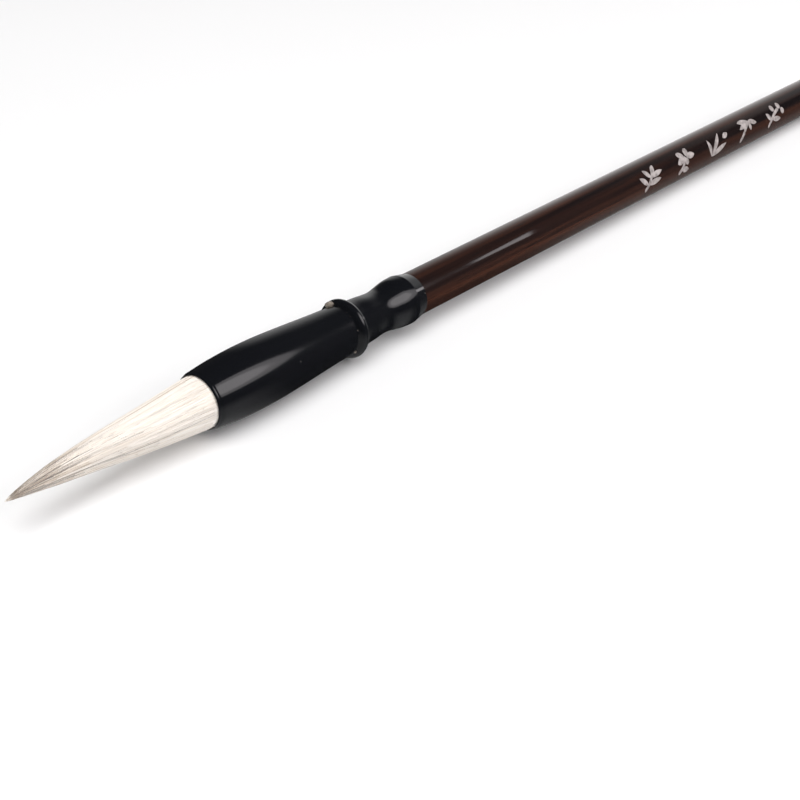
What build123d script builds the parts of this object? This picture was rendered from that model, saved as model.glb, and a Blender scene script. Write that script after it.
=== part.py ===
"""Chinese calligraphy brush: a pointed goat-hair tuft in a black two-piece ferrule on a turned wooden handle.

The brush lies along Y with its point towards -Y. Lengths are millimetres. Stations are distances along the
axis from the ferrule's mouth, negative towards the point, and the finished solids are moved so that the
origin is under the middle of the brush, on the surface that it lies on.
"""

import os
from math import cos, radians, sin, sqrt

from build123d import *

# --- Driving dimensions ------------------------------------------------------------------------------------

TUFT_LENGTH = 45.0  # hair that shows in front of the ferrule
MOUTH_HAIR_RADIUS = 5.45
CORE_RADIUS = 2.6
LINING_LENGTH = 26.0
LINING_THICKNESS = 1.5
CLOAK_END = -39.5  # the outer hair stops here and leaves the point to the core hair
TUFT_BULGE = 0.70  # power of the tuft's outline: 1 is a straight cone
CORE_BULGE = 0.42

PIVOT = -2.0  # station about which the tuft bends
SEAT_CLEARANCE = 0.3

MOUTH_BORE_RADIUS = 5.5
MOUTH_BORE_DEPTH = 17.5
ROOT_START = 1.2
ROOT_END = 15.0
THREAD_START = 10.0
THREAD_DIAMETER = 0.5
THREAD_TURNS = 6

LIP_EDGE_RADIUS = 5.56
LIP_GROOVE = 0.6  # a turned line round the lip, between its two small beads
LIP_GROOVE_RADIUS = 5.80
LIP_SWELL = 0.055  # rise of the two small beads over their chords
LIP_LENGTH = 1.25
LIP_RADIUS = 5.97
BARREL_RADIUS = 6.66  # the widest place of the whole brush
BARREL_OUTLINE = [(6.36, 5.4), (BARREL_RADIUS, 15.0), (6.25, 25.0)]  # (radius, station) points of the belly
CUP_END = 39.6
CUP_END_RADIUS = 5.42
SEAM_BREAK = 0.18
SPIGOT_RADIUS = 3.6
SPIGOT_START = 26.0

BEAD_START = 39.85
BEAD_END = 42.35
BEAD_RADIUS = 6.4
BEAD_FOOT_RADIUS = 5.5
COVE_START = 42.45
COVE_START_RADIUS = 5.25
WAIST = 51.6
WAIST_RADIUS = 4.56
NECK_OUTLINE = [(4.86, 47.0), (WAIST_RADIUS, WAIST), (5.30, 56.4)]  # (radius, station) points of the waist
COVE_SLOPE = -0.15  # radius lost per millimetre where the cove starts
FLARE_EDGE = 59.2
FLARE_RADIUS = 5.46
FLARE_SLOPE = 0.02
NECK_END = 62.2
NECK_END_RADIUS = 4.86

TENON_RADIUS = 3.2
TENON_START = 47.5

HANDLE_RADIUS = 4.8
HANDLE_END = 243.2
CAP_TENON_RADIUS = 2.6
CAP_TENON_LENGTH = 8.0
CAP_GROOVE = 1.8  # from the cap's front face
CAP_GROOVE_WIDTH = 1.0
CAP_GROOVE_DEPTH = 0.45
CAP_COLLAR_LENGTH = 7.0
TAIL_END = 257.0
TAIL_FACE_RADIUS = 2.0
CORD_HOLE_RADIUS = 1.0
EDGE_BREAK = 0.15

MARK_STATIONS = [151.7 + 16.0 * step for step in range(5)]
MARK_ANGLE = 25.0  # degrees up from level, on the +X side
MARK_WIDTH = (5.1, -1.2)  # (along, around) run of an ornament's half width
MARK_HEIGHT = (2.6, 2.5)  # (along, around) run of its half height
STEM_WIDTH = 1.0
LEAF_WIDTH = 1.45
PETAL_WIDTH = 1.75
BERRY_RADIUS = 0.9
MARK_DEPTH = 0.3
MARK_RECESS = 0.05  # the pigment lies this far below the wood

AXIS_HEIGHT = BARREL_RADIUS
MIDDLE = (TAIL_END - TUFT_LENGTH) / 2

# --- Shared shapes -----------------------------------------------------------------------------------------


def turned(*edges):
    """The solid turned about the brush's axis from a closed outline of (radius, station) edges."""
    return revolve(make_face(Wire(list(edges))), Axis.Y)


def path(*points):
    """Straight edges through (radius, station) points."""
    return [Line(a, b) for a, b in zip(points, points[1:])]


def rod(radius, start, end):
    """A plain cylinder on the axis between two stations."""
    return Pos(0, (start + end) / 2, 0) * Rot(90, 0, 0) * Cylinder(radius, end - start)


def tuft_radius(station):
    """Outer radius of the whole tuft: a long point with a slightly full belly."""
    return MOUTH_HAIR_RADIUS * ((TUFT_LENGTH + station) / TUFT_LENGTH) ** TUFT_BULGE


def core_radius(station):
    """Radius of the core hair, which fills the whole tuft in front of the cloak's end."""
    if station < CLOAK_END:
        return tuft_radius(station)
    return CORE_RADIUS * ((TUFT_LENGTH + station) / TUFT_LENGTH) ** CORE_BULGE


def lining_radius(station):
    """Outer radius of the short lining hair that lies round the core and fills the belly."""
    return core_radius(station) + LINING_THICKNESS * (1 + station / LINING_LENGTH) ** 0.6


def profile(radius_at, start, end, count=9):
    """A smooth edge of an outline from one station to another, with the radius from a formula."""
    stations = [start + (end - start) * step / (count - 1) for step in range(count)]
    return Spline([(radius_at(station), station) for station in stations])


# --- Hair --------------------------------------------------------------------------------------------------

BALL_RADIUS = tuft_radius(PIVOT)  # the tuft's rounded back, which turns in the root's hollow
TIP_BLUNT = 0.02
LINING_FRONT = 0.4 - LINING_LENGTH
LINING_RADIUS = lining_radius(0)


def ball(radius):
    """The (radius, station) point of the tuft's rounded back at a radius."""
    return (radius, PIVOT + sqrt(BALL_RADIUS**2 - radius**2))


def ball_arc(outer, inner):
    """The rounded back of one layer, from its outer radius in to its inner one."""
    return ThreePointArc(ball(outer), ball((outer + inner) / 2), ball(inner))


core_front_edge = profile(core_radius, CLOAK_END, LINING_FRONT)
core_back_edge = profile(core_radius, LINING_FRONT, 0)
core_sleeve = Line((CORE_RADIUS, 0), ball(CORE_RADIUS))
lining_edge = profile(lining_radius, LINING_FRONT, 0)
lining_front = Line((core_radius(LINING_FRONT), LINING_FRONT), (lining_radius(LINING_FRONT), LINING_FRONT))
lining_sleeve = Line((LINING_RADIUS, 0), ball(LINING_RADIUS))
cloak_front = Line((core_radius(CLOAK_END), CLOAK_END), (tuft_radius(CLOAK_END), CLOAK_END))


def core_hair():
    """The stiffer core hair, which runs the whole length and makes the point."""
    tip = (tuft_radius(TIP_BLUNT - TUFT_LENGTH), TIP_BLUNT - TUFT_LENGTH)
    return turned(
        Line((0, tip[1]), tip),
        profile(tuft_radius, tip[1], CLOAK_END, 7),
        cloak_front,
        core_front_edge,
        core_back_edge,
        core_sleeve,
        ball_arc(CORE_RADIUS, 0),
        Line(ball(0), (0, tip[1])),
    )


def lining_hair():
    """The short lining hair, round the core only, which fills out the belly."""
    return turned(
        lining_front, lining_edge, lining_sleeve, ball_arc(LINING_RADIUS, CORE_RADIUS), core_sleeve, core_back_edge
    )


def outer_hair():
    """The cloak of fine outer hair, round the lining and the core."""
    return turned(
        cloak_front,
        profile(tuft_radius, CLOAK_END, PIVOT, 11),
        ball_arc(BALL_RADIUS, LINING_RADIUS),
        lining_sleeve,
        lining_edge,
        lining_front,
        core_front_edge,
    )


def hair_root():
    """The bound and glued stump of all three layers, with a hollow for the tuft's ball and a thread groove."""
    stump = rod(MOUTH_BORE_RADIUS, ROOT_START, ROOT_END)
    seat = Pos(0, PIVOT, 0) * Sphere(BALL_RADIUS + SEAT_CLEARANCE)
    groove_end = THREAD_START + THREAD_DIAMETER * THREAD_TURNS
    groove = rod(MOUTH_BORE_RADIUS, THREAD_START, groove_end)
    groove -= rod(MOUTH_BORE_RADIUS - THREAD_DIAMETER, THREAD_START, groove_end)
    return stump - seat - groove


def binding_thread():
    """The thread wound round the root: one turn beside the next, flush with the stump."""
    outer = MOUTH_BORE_RADIUS
    groove = outer - THREAD_DIAMETER
    crown = outer - THREAD_DIAMETER / 4
    turns = [THREAD_START + THREAD_DIAMETER * turn for turn in range(THREAD_TURNS)]
    edges = [
        ThreePointArc((crown, start), (outer, start + THREAD_DIAMETER / 2), (crown, start + THREAD_DIAMETER))
        for start in turns
    ]
    end = turns[-1] + THREAD_DIAMETER
    edges += path((crown, end), (groove, end), (groove, THREAD_START), (crown, THREAD_START))
    return turned(*edges)


def rosin_seal():
    """The hardened rosin that closes the back of the root against the bottom of the bore."""
    return rod(MOUTH_BORE_RADIUS, ROOT_END, MOUTH_BORE_DEPTH)


# --- Ferrule -----------------------------------------------------------------------------------------------


def ferrule_cup():
    """The barrel that holds the hair: a stepped lip, a full belly, and a taper to the seam at the neck."""
    bore_break = 0.04
    lip_groove = (LIP_GROOVE_RADIUS, LIP_GROOVE)
    lip_end = (LIP_RADIUS, LIP_LENGTH)
    taper_end = (CUP_END_RADIUS, CUP_END - SEAM_BREAK)
    edges = [
        SagittaArc((LIP_EDGE_RADIUS, 0), lip_groove, -LIP_SWELL),
        SagittaArc(lip_groove, lip_end, -LIP_SWELL),
        Spline([lip_end, *BARREL_OUTLINE, taper_end]),
    ]
    edges += path(
        taper_end,
        (CUP_END_RADIUS - SEAM_BREAK, CUP_END),
        (SPIGOT_RADIUS, CUP_END),
        (SPIGOT_RADIUS, SPIGOT_START),
        (0, SPIGOT_START),
        (0, MOUTH_BORE_DEPTH),
        (MOUTH_BORE_RADIUS, MOUTH_BORE_DEPTH),
        (MOUTH_BORE_RADIUS, bore_break),
        (MOUTH_BORE_RADIUS + bore_break, 0),
        (LIP_EDGE_RADIUS, 0),
    )
    return turned(*edges)


def ferrule_neck():
    """The spool behind the seam: spigot, bead, waist, flare and the bevel down to the handle."""
    bead_crest = (BEAD_RADIUS, (BEAD_START + BEAD_END) / 2)
    edges = path(
        (0, SPIGOT_START),
        (SPIGOT_RADIUS, SPIGOT_START),
        (SPIGOT_RADIUS, CUP_END),
        (CUP_END_RADIUS - SEAM_BREAK, CUP_END),
        (BEAD_FOOT_RADIUS, BEAD_START),
    )
    edges += [ThreePointArc((BEAD_FOOT_RADIUS, BEAD_START), bead_crest, (BEAD_FOOT_RADIUS, BEAD_END))]
    edges += path((BEAD_FOOT_RADIUS, BEAD_END), (COVE_START_RADIUS, COVE_START))
    edges += [
        Spline(
            [(COVE_START_RADIUS, COVE_START), *NECK_OUTLINE, (FLARE_RADIUS, FLARE_EDGE)],
            tangents=[(COVE_SLOPE, 1), (FLARE_SLOPE, 1)],
        )
    ]
    edges += path(
        (FLARE_RADIUS, FLARE_EDGE),
        (NECK_END_RADIUS, NECK_END),
        (TENON_RADIUS, NECK_END),
        (TENON_RADIUS, TENON_START),
        (0, TENON_START),
        (0, SPIGOT_START),
    )
    return turned(*edges)


# --- Handle ------------------------------------------------------------------------------------------------


def on_handle(x, y):
    """A point of an ornament on the unrolled handle: (along, around) in mm for x and y from -1 to 1.

    The ornaments lean far over towards the tail, so that they look upright to someone who holds the brush.
    """
    return Vector(*MARK_WIDTH) * x + Vector(*MARK_HEIGHT) * y


def stem(*points):
    """A round-ended engraved line through three ornament points."""
    return SlotArc(ThreePointArc(*(on_handle(x, y) for x, y in points)), STEM_WIDTH)


def leaf(start, end, width=LEAF_WIDTH):
    """A pointed leaf or petal between two ornament points."""
    root, tip = on_handle(*start), on_handle(*end)
    side = (tip - root).normalized().rotate(Axis.Z, 90) * (width / 2)
    middle = (root + tip) / 2
    return make_face(Wire([ThreePointArc(root, middle + side, tip), ThreePointArc(tip, middle - side, root)]))


def sprig():
    """Flat ornament: a stem with two pairs of leaves and one at its top."""
    shapes = [stem((0, -1), (0.05, -0.3), (0, 0.4)), leaf((0, 0.2), (0, 1.05))]
    for side in (-1, 1):
        shapes.append(leaf((0, -0.6), (0.9 * side, -0.05)))
        shapes.append(leaf((0, 0), (0.75 * side, 0.6)))
    return Sketch() + shapes


def blossom():
    """Flat ornament: five petals on a stalk with one leaf."""
    petals = []
    for petal in range(5):
        angle = radians(90 + 72 * petal)
        root, tip = ((reach * cos(angle), 0.3 + reach * sin(angle)) for reach in (0.1, 0.78))
        petals.append(leaf(root, tip, PETAL_WIDTH))
    return Sketch() + petals + stem((0, 0.2), (0.1, -0.5), (0, -1)) + leaf((0.05, -0.75), (0.75, -0.7))


def orchid():
    """Flat ornament: three long leaves from one root, and a bud."""
    leaves = [leaf((0, -1), tip) for tip in ((-0.85, 0.45), (0.05, 1.05), (0.95, 0.15))]
    return Sketch() + leaves + leaf((0.5, 0.55), (0.85, 1.0))


def bamboo():
    """Flat ornament: a jointed stem with hanging leaves."""
    stems = [stem((-0.1, -1), (-0.07, -0.7), (-0.05, -0.35)), stem((-0.05, -0.1), (0, 0.25), (0.1, 0.6))]
    leaves = [leaf((0.1, 0.75), tip) for tip in ((-0.8, 0.55), (-0.55, -0.05), (0.55, -0.1), (0.9, 0.6))]
    return Sketch() + stems + leaves


def berries():
    """Flat ornament: a twig with two leaves and three berries."""
    twig = stem((-0.15, -1), (-0.1, -0.2), (0.2, 0.5))
    leaves = [leaf((-0.12, -0.5), (-0.85, 0.1)), leaf((-0.1, -0.4), (0.8, -0.3))]
    fruit = [Pos(*on_handle(x, y)) * Circle(BERRY_RADIUS) for x, y in ((-0.3, 0.6), (0.25, 0.85), (0.7, 0.4))]
    return Sketch() + twig + leaves + fruit


ORNAMENTS = [sprig, blossom, orchid, bamboo, berries]


def engraving(bottom_radius, top_radius):
    """The row of ornaments cut into the handle between two radii."""
    shell = rod(top_radius, NECK_END, HANDLE_END) - rod(bottom_radius, NECK_END, HANDLE_END)
    solids = []
    for station, ornament in zip(MARK_STATIONS, ORNAMENTS):
        plane = Plane(origin=(0, station, 0), x_dir=(0, 1, 0), z_dir=(1, 0, 0)).rotated((0, -MARK_ANGLE, 0))
        solids += (extrude(plane * ornament(), HANDLE_RADIUS + 1) & shell).solids()
    return solids


def handle():
    """The solid wooden shaft with a tenon at each end and the ornaments engraved near its tail."""
    edges = path(
        (0, TENON_START),
        (TENON_RADIUS, TENON_START),
        (TENON_RADIUS, NECK_END),
        (HANDLE_RADIUS - EDGE_BREAK, NECK_END),
        (HANDLE_RADIUS, NECK_END + EDGE_BREAK),
        (HANDLE_RADIUS, HANDLE_END - EDGE_BREAK),
        (HANDLE_RADIUS - EDGE_BREAK, HANDLE_END),
        (CAP_TENON_RADIUS, HANDLE_END),
        (CAP_TENON_RADIUS, HANDLE_END + CAP_TENON_LENGTH),
        (0, HANDLE_END + CAP_TENON_LENGTH),
        (0, TENON_START),
    )
    cutter = Compound(engraving(HANDLE_RADIUS - MARK_DEPTH, HANDLE_RADIUS + 0.5))
    return turned(*edges) - cutter


def handle_marks():
    """The pale pigment that fills the engraving."""
    return Compound(engraving(HANDLE_RADIUS - MARK_DEPTH, HANDLE_RADIUS - MARK_RECESS))


def end_cap():
    """The black tail cap: a grooved collar, a domed end, and the hole for a hanging loop."""
    front_radius = HANDLE_RADIUS - EDGE_BREAK
    groove_start = HANDLE_END + CAP_GROOVE
    groove_end = groove_start + CAP_GROOVE_WIDTH
    groove_bottom = (HANDLE_RADIUS - CAP_GROOVE_DEPTH, (groove_start + groove_end) / 2)
    dome_start = (HANDLE_RADIUS, HANDLE_END + CAP_COLLAR_LENGTH)
    dome_shoulder = (4.25, TAIL_END - 2.6)
    socket_end = HANDLE_END + CAP_TENON_LENGTH
    edges = path(
        (front_radius, HANDLE_END), (HANDLE_RADIUS, HANDLE_END + EDGE_BREAK), (HANDLE_RADIUS, groove_start)
    )
    edges += [ThreePointArc((HANDLE_RADIUS, groove_start), groove_bottom, (HANDLE_RADIUS, groove_end))]
    edges += path((HANDLE_RADIUS, groove_end), dome_start)
    edges += [Spline([dome_start, dome_shoulder, (TAIL_FACE_RADIUS, TAIL_END)], tangents=[(0, 1), (-1, 0)])]
    edges += path(
        (TAIL_FACE_RADIUS, TAIL_END),
        (CORD_HOLE_RADIUS + EDGE_BREAK, TAIL_END),
        (CORD_HOLE_RADIUS, TAIL_END - EDGE_BREAK),
        (CORD_HOLE_RADIUS, socket_end),
        (CAP_TENON_RADIUS, socket_end),
        (CAP_TENON_RADIUS, HANDLE_END),
        (front_radius, HANDLE_END),
    )
    return turned(*edges)


# --- Files -------------------------------------------------------------------------------------------------

nodes = {
    "outer_hair": outer_hair(),
    "lining_hair": lining_hair(),
    "core_hair": core_hair(),
    "hair_root": hair_root(),
    "binding_thread": binding_thread(),
    "rosin_seal": rosin_seal(),
    "ferrule_cup": ferrule_cup(),
    "ferrule_neck": ferrule_neck(),
    "handle": handle(),
    "handle_marks": handle_marks(),
    "end_cap": end_cap(),
}

os.makedirs("parts", exist_ok=True)
for name, solid in nodes.items():
    export_step(Pos(0, -MIDDLE, AXIS_HEIGHT) * solid, f"parts/{name}.step")
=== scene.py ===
"""Looks of the calligraphy brush: hair strands, lacquer, wood and pigment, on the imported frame.

The brush lies along Y with its point towards -Y. Everything is in metres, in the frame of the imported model.
"""

import math

import bpy
import numpy as np
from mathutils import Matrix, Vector


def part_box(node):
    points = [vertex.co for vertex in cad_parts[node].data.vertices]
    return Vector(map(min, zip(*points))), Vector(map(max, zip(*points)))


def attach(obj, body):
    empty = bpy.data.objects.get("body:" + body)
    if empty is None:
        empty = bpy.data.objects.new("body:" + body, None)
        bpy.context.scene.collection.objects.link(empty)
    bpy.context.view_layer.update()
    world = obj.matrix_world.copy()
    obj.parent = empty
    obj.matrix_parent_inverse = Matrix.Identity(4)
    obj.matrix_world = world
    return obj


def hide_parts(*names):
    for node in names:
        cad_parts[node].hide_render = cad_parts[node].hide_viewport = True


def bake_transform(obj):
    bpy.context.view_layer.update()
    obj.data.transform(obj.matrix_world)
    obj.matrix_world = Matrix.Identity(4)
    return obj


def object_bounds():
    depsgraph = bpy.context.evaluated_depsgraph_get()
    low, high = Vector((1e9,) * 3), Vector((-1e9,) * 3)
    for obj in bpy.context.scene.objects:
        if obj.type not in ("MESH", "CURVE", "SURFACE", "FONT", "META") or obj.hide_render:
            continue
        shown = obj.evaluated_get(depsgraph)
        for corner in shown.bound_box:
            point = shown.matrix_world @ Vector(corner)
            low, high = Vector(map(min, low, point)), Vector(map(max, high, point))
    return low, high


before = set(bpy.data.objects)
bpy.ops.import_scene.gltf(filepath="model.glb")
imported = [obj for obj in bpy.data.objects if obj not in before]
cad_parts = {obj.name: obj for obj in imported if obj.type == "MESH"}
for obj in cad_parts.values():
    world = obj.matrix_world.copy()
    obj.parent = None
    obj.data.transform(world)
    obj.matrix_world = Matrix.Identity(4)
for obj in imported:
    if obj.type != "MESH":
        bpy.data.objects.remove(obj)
cad_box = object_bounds()

MM = 0.001

# Places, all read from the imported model.
AXIS_Z = (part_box("ferrule_cup")[0].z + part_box("ferrule_cup")[1].z) / 2
MOUTH_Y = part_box("ferrule_cup")[0].y
SEAM_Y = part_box("ferrule_cup")[1].y
TIP_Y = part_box("core_hair")[0].y
CAP_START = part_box("end_cap")[0]
TUFT_LENGTH = MOUTH_Y - TIP_Y

# Hair. A depth is a distance in front of the mouth, as a part of the tuft's length.
MOUTH_HAIR_RADIUS = 5.42 * MM
TUFT_BULGE = 0.70
POINT_SLIMMING = 0.15  # the last quarter of the tuft is up to this much thinner
BOW = 0.30 * MM  # how far the middle of the tuft stands off the brush's axis
HOOK = 0.20 * MM  # how far the point hooks back the other way
BOW_X, BOW_Z = -0.62, 0.784  # the direction of the bow
HAIR_RADIUS = 0.052 * MM
HAIR_ROOT = -0.02  # depth at which the strands start, inside the mouth
BODY_SHARE = 0.92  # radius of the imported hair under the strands, as a part of the tuft's
BODY_RINGS = 44
BODY_END = 0.985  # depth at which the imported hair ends
LOCKS = 170
LOCK_PULL = 0.5  # how far a strand has leant towards the middle of its lock at the point
LOCK_RELIEF = 0.007  # spread of the locks' heights, as a part of the tuft's radius
STRAND_DRIFT = 0.035  # spread of the strands' sideways waves, in radians
SEED = 7

# Dried glue in the groove between the barrel and the neck's bead.
SEAM_RADIUS = 5.33 * MM
FINE_DROPS = 24

LAMP_COLOR = (1.0, 0.96, 0.98)


# --- Materials ------------------------------------------------------------------------------------


class Shader:
    """A Principled material with short helpers for its node tree."""

    def __init__(self, name, color, roughness, **sockets):
        self.material = bpy.data.materials.new(name)
        self.material.use_nodes = True
        self.nodes = self.material.node_tree.nodes
        self.links = self.material.node_tree.links
        self.principled = self.nodes["Principled BSDF"]
        self.principled.inputs["Base Color"].default_value = (*color, 1)
        self.principled.inputs["Roughness"].default_value = roughness
        for socket, value in sockets.items():
            self.principled.inputs[socket.replace("_", " ")].default_value = value
        self.place = self.nodes.new("ShaderNodeTexCoord").outputs["Object"]

    def scaled(self, x, y, z):
        """Object coordinates in metres, multiplied on each axis."""
        mapping = self.nodes.new("ShaderNodeMapping")
        mapping.inputs["Scale"].default_value = (x, y, z)
        self.links.new(self.place, mapping.inputs["Vector"])
        return mapping.outputs["Vector"]

    def noise(self, scale, detail=3.0, roughness=0.5, distortion=0.0):
        """Noise over object coordinates: scale is (x, y, z) in cells per metre."""
        noise = self.nodes.new("ShaderNodeTexNoise")
        noise.inputs["Scale"].default_value = 1.0
        noise.inputs["Detail"].default_value = detail
        noise.inputs["Roughness"].default_value = roughness
        noise.inputs["Distortion"].default_value = distortion
        self.links.new(self.scaled(*scale), noise.inputs["Vector"])
        return noise.outputs["Fac"]

    def specks(self, cells, size, share=1.0):
        """1 inside small dots in that share of the cells, 0 elsewhere: size is a dot's radius in cells."""
        voronoi = self.nodes.new("ShaderNodeTexVoronoi")
        voronoi.inputs["Scale"].default_value = 1.0
        self.links.new(self.scaled(cells, cells, cells), voronoi.inputs["Vector"])
        dots = self.ramp(voronoi.outputs["Distance"], [(0.0, 1.0), (size, 1.0), (size * 1.6, 0.0)])
        if share == 1.0:
            return dots
        chosen = self.ramp(voronoi.outputs["Color"], [(share * 0.98, 1.0), (share, 0.0)])
        return self.mix(1.0, dots, chosen, "MULTIPLY")

    def towards(self, direction, start, end):
        """0 up to start, a distance from the brush's axis along a direction, rising to 1 at end."""
        reach = self.nodes.new("ShaderNodeVectorMath")
        reach.operation = "DOT_PRODUCT"
        self.links.new(self.place, reach.inputs[0])
        reach.inputs[1].default_value = direction
        rise = self.nodes.new("ShaderNodeMapRange")
        rise.inputs["From Min"].default_value = start + AXIS_Z * direction[2]
        rise.inputs["From Max"].default_value = end + AXIS_Z * direction[2]
        self.links.new(reach.outputs["Value"], rise.inputs["Value"])
        return rise.outputs["Result"]

    def ramp(self, value, stops):
        """A colour ramp: stops are (position, grey or colour)."""
        ramp = self.nodes.new("ShaderNodeValToRGB")
        elements = ramp.color_ramp.elements
        while len(elements) < len(stops):
            elements.new(0.5)
        for element, (position, color) in zip(elements, stops):
            element.position = position
            element.color = (*color, 1) if isinstance(color, tuple) else (color, color, color, 1)
        self.links.new(value, ramp.inputs["Fac"])
        return ramp.outputs["Color"]

    def mix(self, factor, first, second, mode="MIX"):
        """first where factor is 0 and second where it is 1; each is a colour or an output."""
        mix = self.nodes.new("ShaderNodeMix")
        mix.data_type = "RGBA"
        mix.blend_type = mode
        sockets = [s for s in mix.inputs if s.type == "RGBA"]
        if isinstance(factor, float):
            mix.inputs["Factor"].default_value = factor
        else:
            self.links.new(factor, mix.inputs["Factor"])
        for socket, value in zip(sockets, (first, second)):
            if isinstance(value, tuple):
                socket.default_value = (*value, 1)
            else:
                self.links.new(value, socket)
        return next(s for s in mix.outputs if s.type == "RGBA")

    def bump(self, height, distance, strength=1.0, below=None):
        """Adds a bump of that depth in metres, over an earlier one if it is given."""
        bump = self.nodes.new("ShaderNodeBump")
        bump.inputs["Distance"].default_value = distance
        bump.inputs["Strength"].default_value = strength
        self.links.new(height, bump.inputs["Height"])
        if below is not None:
            self.links.new(below, bump.inputs["Normal"])
        return bump.outputs["Normal"]

    def drive(self, socket, value):
        self.links.new(value, self.principled.inputs[socket])


def lacquer():
    """Black polished horn-like plastic: faint waviness, fine scratches, smudges and a little dust."""
    black = (0.0055, 0.006, 0.0075)
    shader = Shader("lacquer_black", black, 0.15, IOR=1.46)
    smudge = shader.noise((160, 60, 160), detail=4.0)
    scratches = shader.noise((900, 5000, 900), detail=2.0)
    dust = shader.specks(700, 0.07, share=0.12)
    shader.drive("Base Color", shader.mix(dust, black, (0.14, 0.13, 0.12)))
    polish = shader.ramp(smudge, [(0.3, 0.09), (0.75, 0.14)])
    shader.drive("Roughness", shader.mix(dust, polish, (0.6, 0.6, 0.6)))
    wavy = shader.bump(shader.noise((220, 40, 220), detail=1.0), 0.008 * MM)
    shader.drive("Normal", shader.bump(scratches, 0.0008 * MM, below=wavy))
    return shader.material


def wood():
    """Very dark hardwood: reddish-brown streaks, a band of painted shade along one side, fine pores, polish.
    """
    shader = Shader("dark_wood", (0.02, 0.01, 0.008), 0.14, IOR=1.42)
    streaks = shader.noise((900, 16, 900), detail=4.0, roughness=0.45, distortion=0.5)
    bands = shader.noise((260, 7, 260), detail=2.0)
    pores = shader.noise((3600, 110, 3600), detail=2.0)
    dark = shader.ramp(streaks, [(0.3, (0.003, 0.003, 0.004)), (0.7, (0.008, 0.0055, 0.006))])
    browns = [(0.3, (0.022, 0.011, 0.009)), (0.52, (0.038, 0.016, 0.011)), (0.75, (0.060, 0.024, 0.015))]
    brown = shader.ramp(streaks, browns)
    # Painted light and shade: the wood is blacker on the side facing up and towards +X, and browner round it
    # like a warm sheen.
    painted_shade_angle = math.radians(46)  # where the band of painted shade lies, up from level on the +X side
    painted_shade_edge = 4.15 * MM, 4.55 * MM  # where it starts and where it is full, out from the axis
    painted_shade_side = shader.towards((math.cos(painted_shade_angle), 0, math.sin(painted_shade_angle)), *painted_shade_edge)
    painted_shade = shader.mix(1.0, painted_shade_side, shader.ramp(bands, [(0.3, 1.0), (0.75, 0.55)]), "MULTIPLY")
    tone = shader.mix(painted_shade, brown, dark)
    closed = shader.ramp(pores, [(0.28, 0.7), (0.4, 0.0)])
    shader.drive("Base Color", shader.mix(closed, tone, (0.006, 0.005, 0.005)))
    shader.drive("Roughness", shader.ramp(pores, [(0.3, 0.22), (0.42, 0.12)]))
    shader.drive("Normal", shader.bump(shader.mix(0.4, streaks, pores), 0.003 * MM))
    return shader.material


def pigment():
    """Chalky off-white fill of the engraving, slightly uneven."""
    shader = Shader("pale_pigment", (0.38, 0.34, 0.33), 0.75)
    blotches = shader.noise((900, 900, 900), detail=4.0)
    tones = shader.ramp(blotches, [(0.3, (0.17, 0.15, 0.145)), (0.62, (0.42, 0.375, 0.365))])
    shader.drive("Base Color", tones)
    shader.drive("Normal", shader.bump(blotches, 0.06 * MM))
    return shader.material


def resin():
    """Amber rosin with small bubbles."""
    shader = Shader("rosin", (0.42, 0.22, 0.07), 0.18, Transmission_Weight=0.2)
    cloud = shader.noise((500, 500, 500), detail=4.0)
    tones = shader.ramp(cloud, [(0.3, (0.25, 0.11, 0.03)), (0.7, (0.55, 0.31, 0.11))])
    shader.drive("Base Color", tones)
    shader.drive("Normal", shader.bump(shader.specks(1400, 0.2), 0.05 * MM))
    return shader.material


def bound_hair():
    """Glued hair: stiff streaks along the brush."""
    shader = Shader("bound_hair", (0.6, 0.5, 0.36), 0.5)
    streaks = shader.noise((5200, 60, 5200), detail=3.0)
    tones = shader.ramp(streaks, [(0.3, (0.42, 0.31, 0.19)), (0.7, (0.72, 0.62, 0.48))])
    shader.drive("Base Color", tones)
    shader.drive("Normal", shader.bump(streaks, 0.1 * MM))
    return shader.material


def thread():
    """Waxed thread: fine twisted strands that run round the brush."""
    shader = Shader("thread", (0.78, 0.71, 0.58), 0.6)
    twist = shader.noise((3000, 9000, 3000), detail=2.0)
    tones = shader.ramp(twist, [(0.3, (0.60, 0.52, 0.40)), (0.7, (0.84, 0.78, 0.66))])
    shader.drive("Base Color", tones)
    shader.drive("Normal", shader.bump(twist, 0.05 * MM))
    return shader.material


def hair(name, pale, deep):
    """One colour of hair, mottled along the strands between two tones, with a soft sheen."""
    shader = Shader(name, pale, 0.42, IOR=1.45, Sheen_Weight=0.15)
    mottle = shader.noise((1500, 90, 1500), detail=3.0)
    shader.drive("Base Color", shader.mix(mottle, pale, deep))
    return shader.material


def under_hair():
    """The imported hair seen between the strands: fine dark and pale streaks along the tuft."""
    shader = Shader("under_hair", (0.80, 0.72, 0.62), 0.6)
    streaks = shader.noise((6000, 45, 6000), detail=3.0)
    tones = shader.ramp(streaks, [(0.3, (0.66, 0.57, 0.48)), (0.65, (0.90, 0.84, 0.76))])
    shader.drive("Base Color", tones)
    shader.drive("Normal", shader.bump(streaks, 0.12 * MM))
    return shader.material


def assign(node, material):
    """Gives a carried-over CAD node its material."""
    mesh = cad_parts[node].data
    mesh.materials.clear()
    mesh.materials.append(material)


# --- Hair -----------------------------------------------------------------------------------------


def tuft_radius(depth):
    """Outer radius of the tuft at a depth."""
    left = np.clip(1 - depth, 0, 1)
    return MOUTH_HAIR_RADIUS * left**TUFT_BULGE * (1 - POINT_SLIMMING * np.clip(1 - left / 0.25, 0, 1))


def tuft_middle(depth):
    """Centre line of the tuft: it bows up towards -X over its outer part, and the point hooks back."""
    bow = np.sin(math.pi * np.clip((depth - 0.25) / 0.7, 0, 1) ** 1.4)
    hook = np.clip((depth - 0.93) / 0.07, 0, 1) ** 1.5
    rise = BOW * bow - HOOK * hook
    return np.stack([BOW_X * rise, MOUTH_Y - TUFT_LENGTH * depth, AXIS_Z + BOW_Z * rise], -1)


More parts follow.
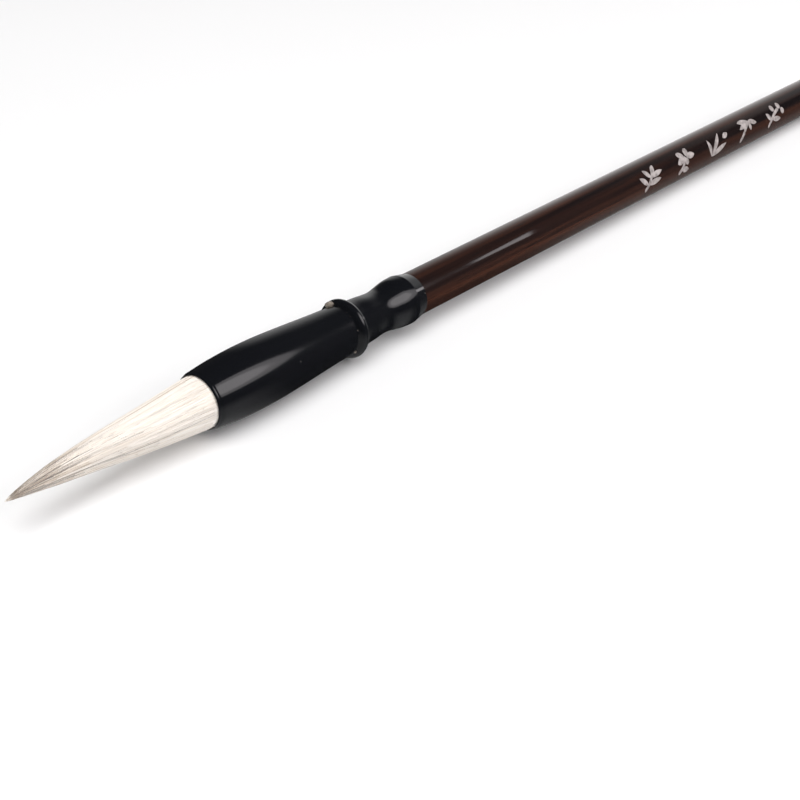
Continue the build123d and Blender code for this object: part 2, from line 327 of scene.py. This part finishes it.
def strand_paths(rng, angle, reach, level, segments, root, spread):
    """Centre lines of strands, as an array (count, segments + 1, 3).

    angle is each strand's place round the tuft, root and reach are the depths of its ends, and level is its
    place between the axis, 0, and the surface, 1. Strands lean towards the middle of their lock as they go,
    which draws fine ridges, and their ends stand off the tuft by up to spread.
    """
    count = len(angle)
    locks = np.sort(rng.uniform(0, math.tau, LOCKS))
    nearest = np.abs((angle[:, None] - locks[None, :] + math.pi) % math.tau - math.pi).argmin(1)
    pull = (locks[nearest] - angle + math.pi) % math.tau - math.pi
    along = np.linspace(0, 1, segments + 1)[None, :]
    root = np.broadcast_to(root, count)[:, None]
    depth = root + (reach[:, None] - root) * along
    gather = np.clip(depth / 0.9, 0, 1) ** 1.5
    drift = rng.normal(0, STRAND_DRIFT, count)[:, None]
    waves = rng.uniform(0.5, 1.6, count)[:, None]
    wander = drift * np.sin(along * math.pi * waves)
    theta = angle[:, None] + pull[:, None] * LOCK_PULL * gather + wander
    relief = rng.normal(0, LOCK_RELIEF, LOCKS)[nearest][:, None] * gather
    lift = spread * rng.uniform(0.2, 1, count)[:, None] * along**3
    radius = tuft_radius(np.maximum(depth, 0)) * (level[:, None] + relief) + lift
    path = tuft_middle(depth)
    path[..., 0] += radius * np.cos(theta)
    path[..., 2] += radius * np.sin(theta)
    return path


def strand_mesh(name, paths, thickness, slots, materials, sides=3):
    """One mesh of tapered strands along the paths; slots gives each strand's material index."""
    count, rings, _ = paths.shape
    forward = np.gradient(paths, axis=1)
    forward /= np.linalg.norm(forward, axis=2, keepdims=True) + 1e-12
    side = np.cross(forward, np.array([0.0, 0.0, 1.0]))
    side /= np.linalg.norm(side, axis=2, keepdims=True) + 1e-12
    up = np.cross(side, forward)
    along = np.linspace(0, 1, rings)[None, :, None]
    taper = (1 - 0.85 * along**2.2) * thickness[:, None, None]
    corners = [
        paths + taper * (math.cos(turn) * side + math.sin(turn) * up)
        for turn in np.arange(sides) * math.tau / sides
    ]
    vertices = np.stack(corners, axis=2).reshape(-1, 3)
    ring = np.arange(rings - 1)[:, None] * sides
    corner = np.arange(sides)[None, :]
    following = (corner + 1) % sides
    quad = np.stack([ring + corner, ring + following, ring + sides + following, ring + sides + corner], -1)
    first_vertex = np.arange(count)[:, None, None] * rings * sides
    quads = (first_vertex + quad.reshape(1, -1, 4)).reshape(-1, 4)
    mesh = bpy.data.meshes.new(name)
    mesh.vertices.add(len(vertices))
    mesh.vertices.foreach_set("co", vertices.ravel())
    mesh.loops.add(quads.size)
    mesh.loops.foreach_set("vertex_index", quads.ravel())
    mesh.polygons.add(len(quads))
    mesh.polygons.foreach_set("loop_start", np.arange(len(quads)) * 4)
    mesh.polygons.foreach_set("material_index", np.repeat(slots, (rings - 1) * sides))
    mesh.polygons.foreach_set("use_smooth", np.ones(len(quads), bool))
    for material in materials:
        mesh.materials.append(material)
    mesh.update(calc_edges=True)
    obj = bpy.data.objects.new(name, mesh)
    bpy.context.collection.objects.link(obj)
    return obj


def turned_mesh(name, outline, material, around=96):
    """A surface turned about the brush's axis from (radius, y) pairs, with a flat face at both ends."""
    turn = np.arange(around) * math.tau / around
    rings = [
        np.stack([radius * np.cos(turn), np.full(around, y), AXIS_Z + radius * np.sin(turn)], -1)
        for radius, y in outline
    ]
    vertices = [tuple(v) for ring in rings for v in ring]
    faces = []
    for row in range(len(rings) - 1):
        near, far = row * around, (row + 1) * around
        for i in range(around):
            following = (i + 1) % around
            faces.append((near + i, near + following, far + following, far + i))
    faces.append(tuple(range(around)))
    faces.append(tuple(reversed(range(len(vertices) - around, len(vertices)))))
    mesh = bpy.data.meshes.new(name)
    mesh.from_pydata(vertices, [], faces)
    mesh.polygons.foreach_set("use_smooth", np.ones(len(faces), bool))
    mesh.materials.append(material)
    obj = bpy.data.objects.new(name, mesh)
    bpy.context.collection.objects.link(obj)
    return obj


def bend_with_tuft(obj):
    """Bakes the hair's placement into its mesh."""
    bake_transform(obj)


def under_body():
    """The mass of hair below the strands that show."""
    depths = np.concatenate([[-0.03], np.linspace(0, BODY_END, BODY_RINGS)])
    outline = [(BODY_SHARE * tuft_radius(max(depth, 0)), MOUTH_Y - TUFT_LENGTH * depth) for depth in depths]
    obj = turned_mesh("hair_body", outline, under_hair())
    co = np.array([v.co for v in obj.data.vertices])
    depth = (MOUTH_Y - co[:, 1]) / TUFT_LENGTH
    co += tuft_middle(depth) * (1, 0, 1) - np.array([0, 0, AXIS_Z])
    obj.data.vertices.foreach_set("co", co.ravel())
    return obj


def tuft():
    """All the hair that shows: a white cloak, single tan and grey hairs in it, and a greyer point."""
    rng = np.random.default_rng(SEED)
    palette = [
        hair("hair_white", (0.97, 0.93, 0.875), (0.95, 0.89, 0.82)),
        hair("hair_cream", (0.94, 0.87, 0.78), (0.88, 0.79, 0.68)),
        hair("hair_tan", (0.66, 0.55, 0.45), (0.50, 0.40, 0.31)),
        hair("hair_grey", (0.30, 0.26, 0.23), (0.17, 0.14, 0.12)),
    ]
    made = {"hair_body": under_body()}

    def layer(name, reach, level, shares, thickness, segments, root=HAIR_ROOT, spread=0.0):
        """Strands in shares of the palette's colours, with a range of thickness in hair radii."""
        count = len(reach)
        angle = rng.uniform(0, math.tau, count)
        slots = rng.choice(len(palette), count, p=shares)
        paths = strand_paths(rng, angle, reach, level, segments, root, spread)
        radius = HAIR_RADIUS * rng.uniform(*thickness, count)
        made[name] = strand_mesh(name, paths, radius, slots, palette)

    cloak = 2000
    for name, middle_level, shares in (
        ("hair_inner", 0.945, (0.72, 0.25, 0.03, 0.0)),
        ("hair_outer", 0.970, (0.80, 0.185, 0.015, 0.0)),
    ):
        reach = 0.94 - 0.40 * rng.beta(1.1, 5.0, cloak)
        level = rng.normal(middle_level, 0.01, cloak)
        layer(name, reach, level, shares, (0.7, 1.2), 15)

    # Short pieces of darker hair come up between the white ones, more of them towards the point. They are
    # partly real tan and grey hairs and partly painted shade of the gaps between locks.
    streaks = 320
    root = 0.78 * np.sqrt(rng.uniform(0, 1, streaks))
    reach = np.minimum(root + rng.uniform(0.15, 0.5, streaks), 0.97)
    level = rng.normal(0.982, 0.004, streaks)
    layer("hair_streaks", reach, level, (0, 0, 0.6, 0.4), (0.45, 0.9), 12, root)

    point = 420
    reach = rng.uniform(0.88, 1.0, point)
    level = rng.uniform(0.7, 0.98, point)
    layer("hair_point", reach, level, (0.5, 0.3, 0.1, 0.1), (0.6, 1.1), 10, 0.6)

    grey = 200
    reach = rng.uniform(0.93, 0.985, grey)
    level = rng.uniform(0.93, 1.01, grey)
    root = rng.uniform(0.55, 0.85, grey)
    layer("hair_grey_point", reach, level, (0, 0, 0.3, 0.7), (0.6, 1.0), 10, root)

    stray = 24
    reach = rng.uniform(0.5, 0.97, stray)
    level = rng.uniform(0.985, 1.0, stray)
    layer("hair_stray", reach, level, (0.5, 0.3, 0.15, 0.05), (0.5, 0.7), 14, 0.02, 0.3 * MM)

    for obj in made.values():
        bend_with_tuft(obj)
    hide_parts("outer_hair")
    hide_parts("lining_hair")
    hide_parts("core_hair")


# --- Small things on the ferrule ------------------------------------------------------------------


def glue_and_highlight_specks():
    """Drops of dried glue in the seam in front of the ferrule's bead: two large ones that are partly painted
    highlight, the rest fine.
    """
    rng = np.random.default_rng(SEED + 1)
    shader = Shader("glue", (0.30, 0.27, 0.22), 0.25)
    grain = shader.noise((1800, 1800, 1800))
    tones = shader.ramp(grain, [(0.3, (0.10, 0.085, 0.07)), (0.7, (0.36, 0.31, 0.26))])
    shader.drive("Base Color", tones)

    # A drop is (place round the brush, size in mm, stretch along the seam, rise off the seam in mm).
    # The two large pale drops are partly glue and partly painted highlight, set where the bead shows bright
    # spots.
    drops = [(math.radians(117), 0.80, 1.3, 0.30), (math.radians(-38), 0.22, 1.8, 0.12)]
    for _ in range(FINE_DROPS):
        drops.append((rng.uniform(0, math.tau), rng.uniform(0.02, 0.06), rng.uniform(1.0, 3.5), 0.0))
    rings, sides = 7, 12
    vertices, faces = [], []
    for angle, size, stretch, rise in drops:
        outward = Vector((math.cos(angle), 0, math.sin(angle)))
        along_seam = Vector((-math.sin(angle), 0, math.cos(angle)))
        centre = Vector((0, SEAM_Y + 0.04 * MM, AXIS_Z)) + outward * (SEAM_RADIUS + rise * MM)
        base = len(vertices)
        for ring in range(rings + 1):
            tilt = math.pi * ring / rings
            for step in range(sides):
                turn = math.tau * step / sides
                wobble = size * rng.uniform(0.85, 1.15) * MM
                point = outward * math.sin(tilt) * math.cos(turn)
                point += Vector((0, math.sin(tilt) * math.sin(turn), 0))
                point += along_seam * math.cos(tilt) * stretch
                vertices.append(centre + point * wobble)
        for ring in range(rings):
            near = base + ring * sides
            for step in range(sides):
                this, following = near + step, near + (step + 1) % sides
                faces.append((this, following, following + sides, this + sides))
    mesh = bpy.data.meshes.new("seam_glue_and_highlights")
    mesh.from_pydata(vertices, [], faces)
    mesh.polygons.foreach_set("use_smooth", np.ones(len(faces), bool))
    mesh.materials.append(shader.material)
    obj = bpy.data.objects.new("seam_glue_and_highlights", mesh)
    bpy.context.collection.objects.link(obj)
    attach(obj, "holder")


# --- Stage ----------------------------------------------------------------------------------------


def floor():
    """A pale floor that touches the ferrule's belly and the tail cap."""
    rise = math.atan2(CAP_START.z - cad_box[0].z, CAP_START.y - MOUTH_Y)
    bpy.ops.mesh.primitive_plane_add(size=8)
    plane = bpy.context.object
    plane.name = "floor"
    belly_y = MOUTH_Y + 15 * MM
    plane.location = (0, belly_y, -0.05 * MM)
    plane.rotation_euler = (rise, 0, 0)
    shader = Shader("floor_paper", (0.86, 0.86, 0.86), 0.9, Specular_IOR_Level=0.1)
    tone = shader.noise((3, 3, 3), detail=2.0)
    shader.drive("Base Color", shader.ramp(tone, [(0.3, 0.85), (0.7, 0.87)]))
    plane.data.materials.append(shader.material)
    plane.visible_glossy = False


def area_light(name, place, aim, diameter, power, color=LAMP_COLOR, glossy=True):
    """A round soft light at a place, turned to a point."""
    data = bpy.data.lights.new(name, "AREA")
    data.shape = "DISK"
    data.size = diameter
    data.energy = power
    data.color = color
    light = bpy.data.objects.new(name, data)
    light.location = place
    light.rotation_mode = "QUATERNION"
    light.rotation_quaternion = (Vector(aim) - Vector(place)).to_track_quat("-Z", "Y")
    light.visible_glossy = glossy
    bpy.context.collection.objects.link(light)


def handle_card():
    """A small upright card beside the handle, which is only seen mirrored in it, as a short glint."""
    place = Vector((23.8, 120, 20.7)) * MM  # of its middle, from the middle of the mouth
    width, height = 21 * MM, 7.6 * MM
    tilt = math.radians(41)
    bpy.ops.mesh.primitive_plane_add(size=1)
    plane = bpy.context.object
    plane.name = "handle_card"
    plane.scale = (width, height, 1)
    plane.location = Vector((0, MOUTH_Y, AXIS_Z)) + place
    plane.rotation_euler = (math.radians(90), -tilt, 0)
    glow = (*LAMP_COLOR, 1)
    shader = Shader("handle_card", (0, 0, 0), 1.0, Emission_Color=glow, Emission_Strength=3.5)
    plane.data.materials.append(shader.material)
    for ray in ("camera", "diffuse", "transmission", "volume_scatter", "shadow"):
        setattr(plane, "visible_" + ray, False)


def lights():
    """A round softbox with a brighter middle on the far side, and an even fill that isn't mirrored."""
    barrel = Vector((0, MOUTH_Y + 20 * MM, AXIS_Z))
    key_direction = Vector((0.703, 0.406, 0.584))
    area_light("key_rim", barrel + key_direction * 1.1, barrel, diameter=0.88, power=3.9)
    area_light("key_middle", barrel + key_direction * 1.08, barrel, diameter=0.55, power=1.3)
    overhead = barrel + Vector((0.1, -0.1, 1.2))
    white = (1, 1, 1)
    area_light("overhead_fill", overhead, barrel, diameter=1.35, power=14.0, color=white, glossy=False)


def surroundings():
    """A white sweep up to a dark ceiling; reflections see a small backdrop and table edge instead."""
    world = bpy.data.worlds.new("studio")
    world.use_nodes = True
    nodes, links = world.node_tree.nodes, world.node_tree.links
    direction = nodes.new("ShaderNodeSeparateXYZ")
    links.new(nodes.new("ShaderNodeTexCoord").outputs["Generated"], direction.inputs["Vector"])

    def fade(axis, stops):
        """A grey level from one axis of the direction: stops are (position from -1 to 1, level)."""
        shift = nodes.new("ShaderNodeMapRange")
        shift.inputs["From Min"].default_value = -1
        links.new(direction.outputs[axis], shift.inputs["Value"])
        ramp = nodes.new("ShaderNodeValToRGB")
        elements = ramp.color_ramp.elements
        while len(elements) < len(stops):
            elements.new(0.5)
        for element, (position, level) in zip(elements, stops):
            element.position = (position + 1) / 2
            element.color = (level, level, level, 1)
        links.new(shift.outputs["Result"], ramp.inputs["Fac"])
        return ramp.outputs["Color"]

    def combine(operation, first, second):
        """The product or sum of two levels."""
        node = nodes.new("ShaderNodeMath")
        node.operation = operation
        for socket, value in zip(node.inputs, (first, second)):
            links.new(value, socket)
        return node.outputs["Value"]

    sweep = fade("Z", [(0.50, 1.0), (0.57, 0.035)])
    left = fade("X", [(0.05, 1.0), (0.3, 0.04)])
    far = fade("Y", [(0.59, 0.02), (0.66, 0.55), (0.72, 0.6), (0.77, 1.0)])
    upright = fade("Z", [(-0.30, 0.0), (-0.12, 1.0), (0.30, 0.9), (0.52, 0.3), (0.62, 0.02)])
    backdrop = combine("MULTIPLY", combine("MULTIPLY", far, left), upright)
    below = fade("Z", [(-0.45, 0.45), (-0.15, 0.0)])
    in_front = fade("Y", [(0.50, 0.9), (0.58, 0.4), (0.65, 0.03), (0.75, 0.03), (0.78, 0.4)])
    table = combine("MULTIPLY", below, in_front)
    mirrored = combine("ADD", backdrop, table)
    mix = nodes.new("ShaderNodeMix")
    mix.data_type = "FLOAT"
    links.new(nodes.new("ShaderNodeLightPath").outputs["Is Glossy Ray"], mix.inputs["Factor"])
    links.new(sweep, mix.inputs[2])
    links.new(mirrored, mix.inputs[3])
    links.new(mix.outputs[0], nodes["Background"].inputs["Color"])
    bpy.context.scene.world = world


def camera():
    """Three-quarter view from above, over the tuft's right side."""
    azimuth, elevation, distance = math.radians(39.83), math.radians(28.52), 310.4 * MM
    aim = Vector((20.5 * MM, MOUTH_Y + 34.4 * MM, 0))
    level = Vector((math.sin(azimuth), -math.cos(azimuth), 0))
    back = level * math.cos(elevation) + Vector((0, 0, math.sin(elevation)))
    data = bpy.data.cameras.new("camera")
    data.lens = 71.1
    data.sensor_width = 36.0
    data.clip_start = 0.005
    cam = bpy.data.objects.new("camera", data)
    cam.location = aim + back * distance
    cam.rotation_mode = "QUATERNION"
    cam.rotation_quaternion = (-back).to_track_quat("-Z", "Y")
    bpy.context.collection.objects.link(cam)
    bpy.context.scene.camera = cam


camera()
floor()
surroundings()
lights()
handle_card()
bpy.context.scene.view_settings.view_transform = "Standard"

black = lacquer()
for node in ("ferrule_cup", "ferrule_neck", "end_cap"):
    assign(node, black)
assign("handle", wood())
assign("handle_marks", pigment())
assign("rosin_seal", resin())
assign("hair_root", bound_hair())
assign("binding_thread", thread())
tuft()
glue_and_highlight_specks()
